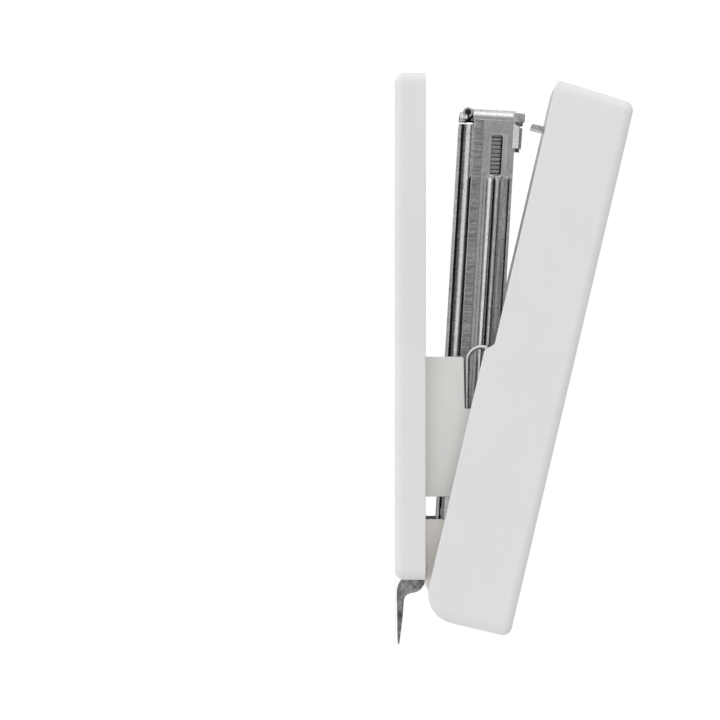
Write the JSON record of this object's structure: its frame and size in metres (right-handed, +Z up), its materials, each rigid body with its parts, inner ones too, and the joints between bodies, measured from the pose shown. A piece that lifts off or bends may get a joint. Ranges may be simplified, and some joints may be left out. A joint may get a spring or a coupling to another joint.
{
  "type": "compact stapler",
  "caption": "Palm-size stapler: plastic base and handle shells, steel magazine and press frame on one pivot pin, sprung pusher, and a cranked remover tab with a strap hole.",
  "frame": {"origin": "middle of the footprint of the base and its remover tab, on the surface the base stands on, with the handle open", "axes": "+X from the nose towards the pivot and the remover tab, +Y across the stapler, +Z up from the base's underside towards the handle"},
  "size_m": [0.064, 0.02, 0.0265],
  "materials": {
    "shell_plastic": "fine satin moulded ABS, white",
    "inner_plastic": "satin moulded plastic, white",
    "plated_steel": "nickel-plated sheet with fine drawn streaks",
    "dark_steel": "burnished dark steel sheet",
    "fastener_steel": "plated turned steel",
    "spring_steel": "bright drawn spring steel",
    "staple_wire": "galvanised flattened wire, glued in a strip",
    "pusher_plastic": "dark grey moulded acetal",
    "spacer_plastic": "natural acetal"
  },
  "bodies": {
    "base": {"base_cover": "shell_plastic", "base_plate": "plated_steel", "anvil": "plated_steel", "guide_frame": "inner_plastic", "pivot_bracket": "inner_plastic", "remover_tab": "dark_steel", "base_rivets": "fastener_steel", "pivot_pin": "fastener_steel", "pin_spacer": "spacer_plastic", "lift_spring": "spring_steel", "return_spring": "spring_steel"},
    "magazine": {"magazine_channel": "plated_steel", "nose_plate": "plated_steel", "staple_rail": "plated_steel", "rail_rivets": "fastener_steel", "staple_strip": "staple_wire", "pusher_rod": "spring_steel", "rear_stop": "plated_steel", "pusher_spring": "spring_steel"},
    "pusher": {"pusher": "pusher_plastic"},
    "handle": {"handle_shell": "shell_plastic", "press_frame": "plated_steel", "driver_blade": "plated_steel", "driver_rivets": "fastener_steel"}
  },
  "joints": [
    {"name": "handle_hinge", "type": "hinge", "parent": "base", "child": "handle", "pos_m": [0.0268, 0, 0.00786], "axis": [0, 1, 0], "range_deg": [-13.2, 62], "stiffness_Nm_per_rad": 0.15, "springref_deg": 0.8, "deforming": ["return_spring"]},
    {"name": "magazine_hinge", "type": "hinge", "parent": "base", "child": "magazine", "pos_m": [0.0268, 0, 0.00786], "axis": [0, 1, 0], "range_deg": [-3.37, 15.9], "stiffness_Nm_per_rad": 0.1, "springref_deg": 1.32, "deforming": ["lift_spring"]},
    {"name": "pusher_slide", "type": "slide", "parent": "magazine", "child": "pusher", "axis": [0.9983, 0, -0.0588], "range_m": [0, 0.0095], "stiffness_N_per_m": 40, "springref_m": -0.012, "deforming": ["pusher_spring"]}
  ],
  "couplings": [
    {"joint": "magazine_hinge", "follows": "handle_hinge", "ratio": 0.2553}
  ]
}
